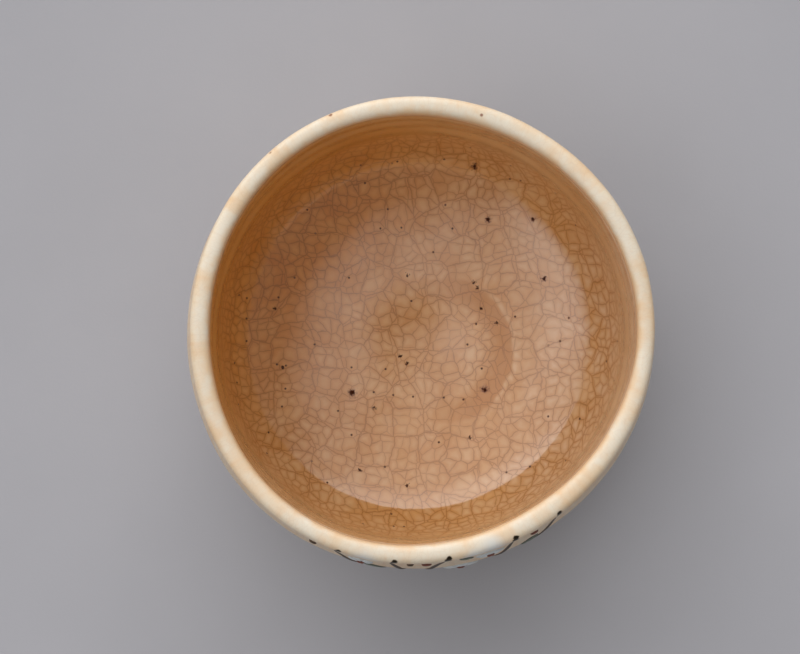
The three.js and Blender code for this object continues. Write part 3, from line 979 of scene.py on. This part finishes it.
def coat_bed(curves, edge):
    """The clay under the cream glaze, from the glaze's lower edge to the seam."""
    hip = along(curves["hip"], edge + (1 - edge) * steps(BED_STEPS))
    return chain(hip, *coat_runs(curves, BED_COARSENESS))


def lining_bed(curves):
    """The clay under the tan glaze, from the seam to the middle of the floor."""
    return chain(*lining_runs(curves, BED_COARSENESS))


class TEABOWL_OT_clay(bpy.types.Operator):
    """Make the clay body and the foot ring"""

    bl_idname = "tea_bowl.clay"
    bl_label = "Clay body and foot"

    def execute(self, context):
        bowl, foot, _, colours = settings(context)
        azimuth = round_bowl()
        material = bare_clay(colours)
        dress(self.body(bowl, foot, azimuth), material, "bare_clay", "clay_body")
        dress(self.ring(foot, azimuth), material, "bare_clay", "foot_ring")
        return {"FINISHED"}

    def body(self, bowl, foot, azimuth):
        """The wall and the floor, from the middle of the foot's recess to the middle of the inside."""
        curves = clay_curves(bowl, foot, azimuth)
        edge = glaze_edge(bowl, azimuth, curves["hip"])[:, None]
        nub_tip = point_at(0, foot.height - foot.nub_drop, azimuth)
        nub_foot = point_at(foot.nub_radius, foot.height, azimuth)
        inner_seat, outer_seat = ring_seats(foot, azimuth)
        under = chain(
            along(bend(nub_tip, nub_foot, OUTWARD, OUTWARD, POOL_FULLNESS), steps(NUB_STEPS)),
            along(bend(nub_foot, inner_seat, OUTWARD, OUTWARD, POOL_FULLNESS), steps(RECESS_STEPS)),
            along(bend(inner_seat, outer_seat, OUTWARD, OUTWARD, POOL_FULLNESS), steps(SEAT_STEPS)),
            along(curves["hip"], edge * steps(BARE_STEPS)),
        )
        rails = [
            raised(under, azimuth, 0),
            raised(coat_bed(curves, edge), azimuth, 0)[:, 1:],
            drifted(raised(lining_bed(curves), azimuth, 0))[:, 1:],
        ]
        return skin("fired_clay_body", np.concatenate(rails, axis=1), False)

    def ring(self, foot, azimuth):
        """The foot ring, from the rounding of its bore over its outside and its seat to the bore again."""
        cut = hand(azimuth, FOOT_CUTS)
        inside, outside = foot.radius - foot.wall - cut, foot.radius + cut
        bore = point_at(inside, foot.rounding, azimuth)
        stand_inner = point_at(inside + foot.rounding, 0, azimuth)
        stand_outer = point_at(outside - foot.rounding, 0, azimuth)
        flank = point_at(outside, foot.rounding, azimuth)
        inner_seat, outer_seat = ring_seats(foot, azimuth)
        run = chain(
            along(bend(bore, stand_inner, DOWN, OUTWARD, RING_FULLNESS), steps(CORNER_STEPS)),
            along(bend(stand_inner, stand_outer, OUTWARD, OUTWARD, WALL_FULLNESS), steps(CORNER_STEPS)),
            along(bend(stand_outer, flank, OUTWARD, UP, RING_FULLNESS), steps(CORNER_STEPS)),
            along(bend(flank, outer_seat, UP, RING_FLARE, WALL_FULLNESS), steps(FLANK_STEPS)),
            along(bend(outer_seat, inner_seat, INWARD, INWARD, WALL_FULLNESS), steps(SEAT_STEPS)),
            along(bend(inner_seat, bore, -RING_FLARE, DOWN, WALL_FULLNESS), steps(FLANK_STEPS)),
        )
        return skin("fired_foot_ring", turned(run[0], azimuth)[:, :-1], True)


class TEABOWL_OT_coat(bpy.types.Operator):
    """Make the cream glaze over the outside and the lip"""

    bl_idname = "tea_bowl.coat"
    bl_label = "Cream glaze"

    def execute(self, context):
        bowl, foot, paint, colours = settings(context)
        azimuth = round_bowl()
        curves = clay_curves(bowl, foot, azimuth)
        edge = glaze_edge(bowl, azimuth, curves["hip"])[:, None]
        hip = along(curves["hip"], edge + (1 - edge) * steps(HIP_STEPS) ** HIP_CROWDING)
        face = chain(hip, *coat_runs(curves))
        run = lengths(face[0])
        rolled = run / bowl.glaze_roll
        roll = np.clip(rolled, ROLL_START, 1)
        bead = 1 + BEAD_SWELL * np.exp(-((rolled - BEAD_PLACE) ** 2))
        thickness = bowl.outer_glaze * np.sqrt(1 - (1 - roll) ** 2) * bead
        outer = raised(face, azimuth, thickness)
        under = raised(coat_bed(curves, edge), azimuth, 0)[:, ::-1]
        rails = np.concatenate([outer, under], axis=1)
        below = np.zeros(under.shape[:2])
        seam = np.concatenate([(run[:, -1:] - run) / MM, below], axis=1)
        spread = np.concatenate([spread_from(outer, foot.radius, azimuth), 0 * under], axis=1)
        piece = skin("cream_coat", rails, True, seam=seam, spread=spread)
        material = cream_glaze(colours, Wall(bowl, foot, paint.seat))
        dress(piece, material, "cream_glaze", "outer_glaze")
        return {"FINISHED"}


class TEABOWL_OT_lining(bpy.types.Operator):
    """Make the tan glaze that lines the inside"""

    bl_idname = "tea_bowl.lining"
    bl_label = "Tan glaze"

    def execute(self, context):
        bowl, foot, _, colours = settings(context)
        azimuth = round_bowl()
        curves = clay_curves(bowl, foot, azimuth)
        face = chain(*lining_runs(curves))
        run = lengths(face[0])
        thickness = bowl.inner_glaze + self.ridges(run, azimuth)
        inner = drifted(raised(face, azimuth, thickness))
        under = drifted(raised(lining_bed(curves), azimuth, 0))[:, ::-1]
        rails = np.concatenate([under, inner], axis=1)
        below = np.zeros(under.shape[:2])
        seam = np.concatenate([below, run / MM], axis=1)
        spread = spread_from(inner[:, ::-1], 0, azimuth)[:, ::-1]
        spread = np.concatenate([0 * under, spread], axis=1)
        piece = skin("tan_lining", rails, False, seam=seam, spread=spread)
        dress(piece, tan_glaze(colours), "tan_glaze", "inner_glaze")
        return {"FINISHED"}

    def ridges(self, run, azimuth):
        """Low smoothing marks round the inner wall, which die out at the seam and on the floor."""
        span = RIDGE_SPAN * MM
        wander = sum(swell * np.sin(n * azimuth + phase) for n, swell, phase in RIDGE_WANDER)[:, None]
        wave = sum(
            swell * np.sin(2 * math.pi * run / (spans * span) + share * wander)
            for swell, spans, share in RIDGE_WAVES
        )
        near = np.clip(run / (RIDGE_START * MM), 0, 1)
        far = np.clip((RIDGE_END * MM - run) / (RIDGE_FADE * MM), 0, 1)
        return RIDGE_DEPTH * MM * wave * near * far


class Wall:
    """The coated wall unrolled: metres round the belly, and metres down from the crest of the lip."""

    def __init__(self, bowl, foot, sink):
        self.bowl = bowl
        self.foot = foot
        self.sink = sink

    def line(self, azimuth):
        """The clay up the coated wall at each azimuth, from the foot's seat to the crest."""
        curves = clay_curves(self.bowl, self.foot, azimuth)
        return chain(*(along(curves[name], steps(count)) for name, count in LINE_STEPS))

    def unrolled(self, place):
        """Flat place of an azimuth in degrees and a share of the coated wall."""
        degrees, share = place
        azimuth = np.array([math.radians(degrees)])
        total = lengths(self.line(azimuth)[0])[0, -1] - self.bowl.glaze_line
        return np.array([self.bowl.belly_radius * azimuth[0], share * total])

    def raised(self, flat, proud):
        """Places in space of unrolled points that stand proud of the glaze."""
        around, down = flat[..., 0].ravel(), flat[..., 1].ravel()
        azimuth = around / self.bowl.belly_radius
        point, out = self.line(azimuth)
        run = lengths(point)
        goal = run[:, -1] - down
        row = np.arange(len(goal))
        step = np.clip((run < goal[:, None]).sum(axis=1) - 1, 0, run.shape[1] - 2)
        part = ((goal - run[row, step]) / (run[row, step + 1] - run[row, step]))[:, None]
        place = point[row, step] * (1 - part) + point[row, step + 1] * part
        ways = out[row, step] * (1 - part) + out[row, step + 1] * part
        lift = self.bowl.outer_glaze - self.sink + np.ravel(proud)
        base = raised((place[:, None], ways[:, None]), azimuth, lift[:, None])
        return base.reshape(*flat.shape[:-1], 3)


def painting(context):
    """The wall to paint on, the sizes of the marks and the colours."""
    bowl, foot, paint, colours = settings(context)
    return Wall(bowl, foot, paint.seat), paint, colours


def pad(name, wall, place, edge_at, dome, sides, lift=0.0):
    """A raised mark whose edge lies at a distance from its middle for each turn."""
    turn = np.linspace(0, 2 * math.pi, sides, endpoint=False)[:, None]
    shares = np.concatenate([steps(PAD_BED_RINGS)[:-1], steps(PAD_RINGS, 1, 0)])
    top = np.arange(len(shares)) >= PAD_BED_RINGS
    reach = edge_at(turn) * shares
    flat = wall.unrolled(place) + np.stack([reach * np.cos(turn), -reach * np.sin(turn)], axis=-1)
    height = lift + np.where(top, dome(turn, shares), 0) + 0 * reach
    rails = wall.raised(flat, height)
    return skin(name, rails, False, edge=np.broadcast_to(1 - shares, height.shape))


def domed(proud, share):
    """Height of a plump mark, rounded down to its edge."""
    return proud * np.sqrt(np.clip(1 - share**3, 0, 1))


def midway(share):
    """1 halfway from a mark's middle to its edge, and 0 at both."""
    return share * (1 - share) * 4


class TEABOWL_OT_grass(bpy.types.Operator):
    """Paint the iron-brown grass blades"""

    bl_idname = "tea_bowl.grass"
    bl_label = "Grass blades"

    def execute(self, context):
        wall, paint, colours = painting(context)
        material = painted("iron_brush_stroke", colours.iron, colours.iron_thin, IRON_ROUGHNESS)
        for i, (root, bow, tip) in enumerate(GRASS, 1):
            ends = [wall.unrolled(place) for place in (root, bow, tip)]
            piece = self.blade(f"iron_blade_{i}", wall, paint, *ends)
            dress(piece, material, "iron_brown", f"grass_blade_{i}")
        return {"FINISHED"}

    def blade(self, name, wall, paint, root, bow, tip):
        """A brush stroke that swells from its root and runs out to a point."""
        t = steps(STROKE_STEPS)[:, None]
        line = (1 - t) ** 2 * root + 2 * t * (1 - t) * bow + t * t * tip
        run = (1 - t) * (bow - root) + t * (tip - bow)
        run = run / np.linalg.norm(run, axis=-1, keepdims=True)
        across = np.stack([-run[:, 1], run[:, 0]], axis=-1)
        swell = np.sqrt(np.sin(math.pi * (STROKE_BLUNT + (1 - 2 * STROKE_BLUNT) * t)))
        swell = swell * np.sqrt(np.clip(np.minimum(t, 1 - t) * STROKE_STEPS / STROKE_TAPER, 0, 1))
        drag = sum((wide * np.sin(fast * t + phase) for fast, wide, phase in STROKE_DRAG), 1)
        half = paint.stroke_width / 2 * swell * drag
        angle = np.linspace(0, 2 * math.pi, STROKE_SIDES, endpoint=False)[:, None, None]
        side, top = np.cos(angle), np.clip(np.sin(angle), 0, 1)
        flat = line + side * half * across
        height = (paint.stroke_proud * top * swell)[..., 0]
        edge = np.broadcast_to(1 - np.abs(side[..., 0]), height.shape)
        return skin(name, wall.raised(flat, height), False, edge=edge)


class TEABOWL_OT_blossoms(bpy.types.Operator):
    """Raise the white slip blossoms and their hearts"""

    bl_idname = "tea_bowl.blossoms"
    bl_label = "Blossoms and hearts"

    def execute(self, context):
        wall, paint, colours = painting(context)
        slip = painted("raised_white_slip", colours.slip, colours.slip_shade, SLIP_ROUGHNESS)
        enamel = painted("red_heart_enamel", colours.bud, colours.bud_dark, ENAMEL_ROUGHNESS)
        for i, (place, turn, size) in enumerate(BLOSSOMS, 1):
            flower = self.flower(f"slip_blossom_{i}", wall, paint, place, turn, size)
            dress(flower, slip, "white_slip", f"blossom_{i}")
            heart = self.heart(f"enamel_heart_{i}", wall, paint, place)
            dress(heart, enamel, "bud_red", f"blossom_heart_{i}")
        return {"FINISHED"}

    def flower(self, name, wall, paint, place, turn, size):
        """A blossom of notched petals, folded between them and cupped in the middle."""
        cup_depth, cup_reach = PETAL_CUP

        def petal(angle):
            return np.abs(np.cos(PETALS / 2 * (angle - math.radians(turn))))

        def edge_at(angle):
            return size * paint.blossom_radius * (1 - PETAL_NOTCH * (1 - np.sqrt(petal(angle))))

        def dome(angle, share):
            fold = 1 - PETAL_FOLD * (1 - petal(angle)) ** 2 * midway(share)
            cup = 1 - cup_depth * np.exp(-((share / cup_reach) ** 2))
            return domed(paint.blossom_proud, share) * fold * cup

        return pad(name, wall, place, edge_at, dome, BLOSSOM_SIDES)

    def heart(self, name, wall, paint, place):
        """A folded button in the middle of a blossom."""
        folds, fold_height = HEART_FOLDS

        def edge_at(angle):
            return paint.heart_radius * waver(angle, HEART_WAVER)

        def dome(angle, share):
            fold = 1 + fold_height * np.cos(folds * angle) * midway(share)
            return domed(paint.heart_proud, share) * fold

        lift = HEART_LIFT * paint.blossom_proud
        return pad(name, wall, place, edge_at, dome, HEART_SIDES, lift)


class TEABOWL_OT_leaves(bpy.types.Operator):
    """Paint the grey-green leaves"""

    bl_idname = "tea_bowl.leaves"
    bl_label = "Leaves"

    def execute(self, context):
        wall, paint, colours = painting(context)
        material = painted("leaf_enamel", colours.leaf, colours.leaf_vein, LEAF_ROUGHNESS)
        for i, (place, turn, size) in enumerate(LEAVES, 1):
            piece = self.leaf(f"enamel_leaf_{i}", wall, paint, place, math.radians(turn), size)
            dress(piece, material, "leaf_green", f"leaf_{i}")
        return {"FINISHED"}

    def leaf(self, name, wall, paint, place, turn, size):
        """A leaf with two points and a sunken vein."""

        def edge_at(angle):
            point = np.abs(np.cos(angle - turn)) ** LEAF_POINT
            return size / 2 * (paint.leaf_width + (paint.leaf_length - paint.leaf_width) * point)

        def dome(angle, share):
            aside = np.abs(np.sin(angle - turn)) * share * edge_at(angle)
            vein = np.exp(-((aside / (VEIN_WIDTH * MM)) ** 2))
            return domed(paint.leaf_proud, share) * (1 - VEIN_DEPTH * vein)

        return pad(name, wall, place, edge_at, dome, LEAF_SIDES)


class TEABOWL_OT_buds(bpy.types.Operator):
    """Dot the red and dark buds"""

    bl_idname = "tea_bowl.buds"
    bl_label = "Buds"

    def execute(self, context):
        wall, paint, colours = painting(context)
        finishes = {
            "bud_red": painted("red_bud_enamel", colours.bud, colours.bud_dark, ENAMEL_ROUGHNESS),
            "iron_brown": painted("iron_bud_dot", colours.iron, colours.iron_thin, IRON_ROUGHNESS),
        }
        for i, (place, size, slot) in enumerate(BUDS, 1):
            piece = self.bud(f"slip_bud_{i}", wall, paint, place, size)
            dress(piece, finishes[slot], slot, f"bud_{i}")
        return {"FINISHED"}

    def bud(self, name, wall, paint, place, size):
        """A plump dot."""

        def edge_at(angle):
            return size * paint.bud_radius * waver(angle, BUD_WAVER)

        def dome(_, share):
            return domed(paint.bud_proud, share)

        return pad(name, wall, place, edge_at, dome, BUD_SIDES)


class TEABOWL_OT_stage(bpy.types.Operator):
    """Set the floor, the soft lights and the camera"""

    bl_idname = "tea_bowl.stage"
    bl_label = "Stage"

    def execute(self, context):
        stage = context.scene.bowl_stage
        self.floor(context, stage)
        context.scene.world = self.dome(stage)
        self.camera(context, stage)
        context.scene.view_settings.view_transform = "Standard"
        return {"FINISHED"}

    def floor(self, context, stage):
        """The sheet of paper on which the bowl stands."""
        mesh = bpy.data.meshes.new("paper_floor")
        sides = ((-1, -1), (1, -1), (1, 1), (-1, 1))
        corners = [(FLOOR_HALF * x, FLOOR_HALF * y, 0) for x, y in sides]
        mesh.from_pydata(corners, [], [(0, 1, 2, 3)])
        mesh.materials.append(paper(stage))
        floor = bpy.data.objects.new("paper_floor", mesh)
        context.scene.collection.objects.link(floor)

    def dome(self, stage):
        """A soft dome of light that glows over one half and behind the bowl."""
        dome = Finish(bpy.data.worlds.new("soft_dome"))
        towards = dome.node("ShaderNodeTexCoord", {}, {}, "Generated")
        north = dome.node("ShaderNodeSeparateXYZ", {}, {0: towards}, 1)
        height = dome.node("ShaderNodeSeparateXYZ", {}, {0: towards}, 2)
        window = dome.ramp(dome.vector("DOT_PRODUCT", towards, WINDOW_WAY, output=1), *WINDOW_EDGE)
        window = window * dome.ramp(height, *WINDOW_FOOT) * dome.ramp(north, *WINDOW_DIM)
        behind = dome.ramp(dome.vector("DOT_PRODUCT", towards, BACK_WAY, output=1), *BACK_EDGE)
        dim = tuple(stage.fill * c for c in stage.sky)
        glow = dome.mix(behind.most(window * WINDOW_SHARE), dim, stage.sky)
        light = dome.node("ShaderNodeBackground", {}, {"Color": glow, "Strength": stage.level})
        dome.tree.nodes.new("ShaderNodeOutputWorld")
        return dome.end("World Output", light)

    def camera(self, context, stage):
        """A camera almost straight above, aimed so that the mouth has its place in the image."""
        sight = Vector((0, math.sin(stage.tilt), -math.cos(stage.tilt)))
        right = Vector((1, 0, 0))
        up = right.cross(sight)
        pixel = stage.distance * SENSOR_WIDTH / stage.lens / IMAGE_WIDTH
        mouth = Vector((0, 0, context.scene.bowl_sizes.height))
        data = bpy.data.cameras.new("camera")
        data.lens = stage.lens
        data.sensor_width = SENSOR_WIDTH
        camera = bpy.data.objects.new("camera", data)
        aside = right * MOUTH_IN_IMAGE[0] + up * MOUTH_IN_IMAGE[1]
        place = mouth - sight * stage.distance - aside * pixel
        axes = Matrix((right, up, -sight)).transposed().to_4x4()
        camera.matrix_world = Matrix.Translation(place) @ axes
        context.scene.collection.objects.link(camera)
        context.scene.camera = camera


OPERATORS = (
    TEABOWL_OT_stage,
    TEABOWL_OT_clay,
    TEABOWL_OT_coat,
    TEABOWL_OT_lining,
    TEABOWL_OT_grass,
    TEABOWL_OT_blossoms,
    TEABOWL_OT_leaves,
    TEABOWL_OT_buds,
)


class TEABOWL_PT_panel(bpy.types.Panel):
    """Lists the steps of the bowl"""

    bl_idname = "TEABOWL_PT_panel"
    bl_label = "Tea Bowl"
    bl_space_type = "VIEW_3D"
    bl_region_type = "UI"
    bl_category = "Tea Bowl"

    def draw(self, context):
        """One button for each step."""
        for operator in OPERATORS:
            self.layout.operator(operator.bl_idname)


GROUPS = {
    "bowl_sizes": BowlSizes,
    "bowl_foot": FootSizes,
    "bowl_paint": PaintSizes,
    "bowl_colours": BowlColours,
    "bowl_stage": StageSettings,
}


def register():
    """Adds the settings, the steps and the panel to Blender."""
    for group in GROUPS.values():
        bpy.utils.register_class(group)
    for name, group in GROUPS.items():
        setattr(bpy.types.Scene, name, bpy.props.PointerProperty(type=group))
    for operator in OPERATORS:
        bpy.utils.register_class(operator)
    bpy.utils.register_class(TEABOWL_PT_panel)


def unregister():
    """Takes them out again."""
    bpy.utils.unregister_class(TEABOWL_PT_panel)
    for operator in reversed(OPERATORS):
        bpy.utils.unregister_class(operator)
    for name, group in reversed(GROUPS.items()):
        delattr(bpy.types.Scene, name)
        bpy.utils.unregister_class(group)


def main():
    """Makes the bowl on its stage."""
    register()
    bpy.ops.tea_bowl.stage()
    bpy.ops.tea_bowl.clay()
    bpy.ops.tea_bowl.coat()
    bpy.ops.tea_bowl.lining()
    bpy.ops.tea_bowl.grass()
    bpy.ops.tea_bowl.blossoms()
    bpy.ops.tea_bowl.leaves()
    bpy.ops.tea_bowl.buds()


if __name__ == "__main__":
    main()
